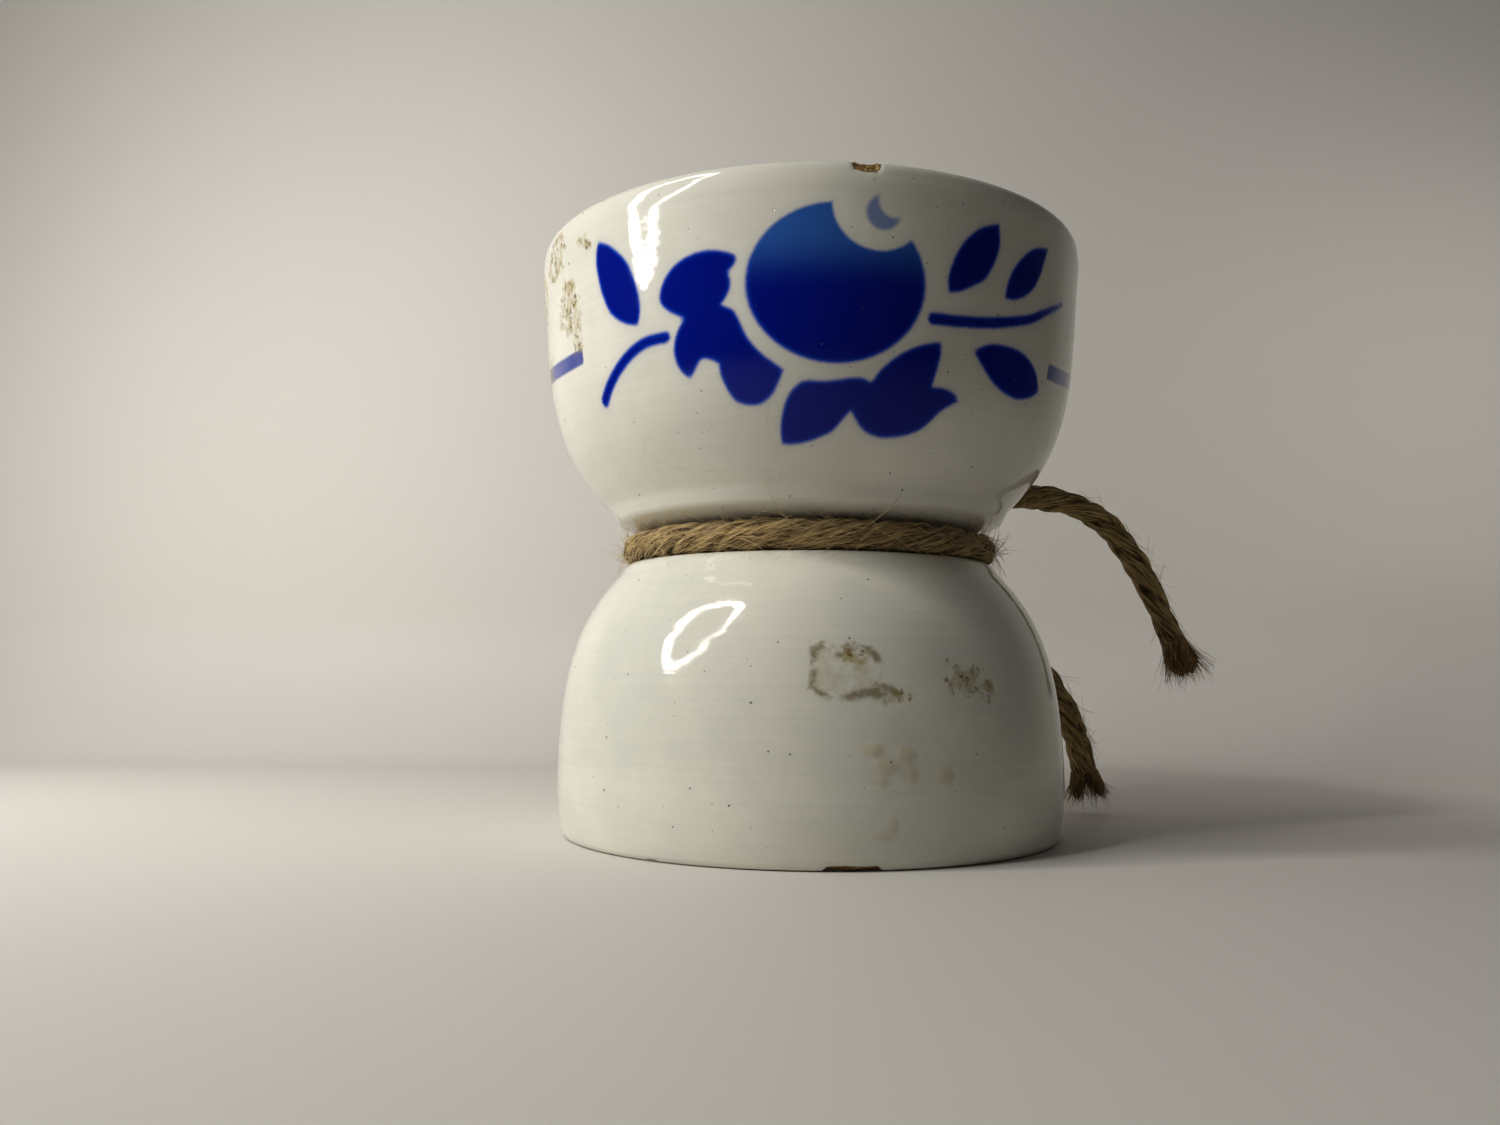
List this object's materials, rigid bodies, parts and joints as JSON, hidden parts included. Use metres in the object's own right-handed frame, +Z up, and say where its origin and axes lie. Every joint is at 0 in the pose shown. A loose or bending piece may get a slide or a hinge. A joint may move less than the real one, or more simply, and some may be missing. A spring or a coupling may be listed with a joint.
{
  "type": "tied pair of bowls",
  "caption": "Handleless glazed bowls standing foot to foot, the upper one open and the lower one turned over, with a rope tied round the waist between them.",
  "frame": {"origin": "middle of the lower bowl's rim, on the surface that the pair stands on", "axes": "+Z up along both bowls' common axis; +X to the right of the decorated front and +Y away from it, towards the knot"},
  "size_m": [0.1661, 0.1226, 0.1288],
  "materials": {
    "aged_glaze": "glossy white glaze with faint throwing lines, stains and small blisters",
    "decorated_glaze": "glossy cream glaze with a cobalt blue airbrushed stencil of a round bloom, petals, leaves and stems",
    "rope": "rough laid jute with loose fibres",
    "frayed_rope": "loosened jute fibres"
  },
  "bodies": {
    "lower_bowl": {"lower_bowl": "aged_glaze"},
    "upper_bowl": {"upper_bowl": "decorated_glaze"},
    "binding": {"waist_turn": "rope", "waist_knot": "rope", "long_tail": "rope", "long_tail_fray": "frayed_rope", "short_tail": "rope", "short_tail_fray_left": "frayed_rope", "short_tail_fray_right": "frayed_rope"}
  },
  "joints": [
    {"name": "binding_turn", "type": "hinge", "parent": "lower_bowl", "child": "binding", "pos_m": [0, 0, 0.0623], "axis": [0, 0, 1], "continuous": true},
    {"name": "upper_bowl_lift", "type": "slide", "parent": "lower_bowl", "child": "upper_bowl", "axis": [0, 0, 1], "range_m": [0, 0.08]}
  ]
}
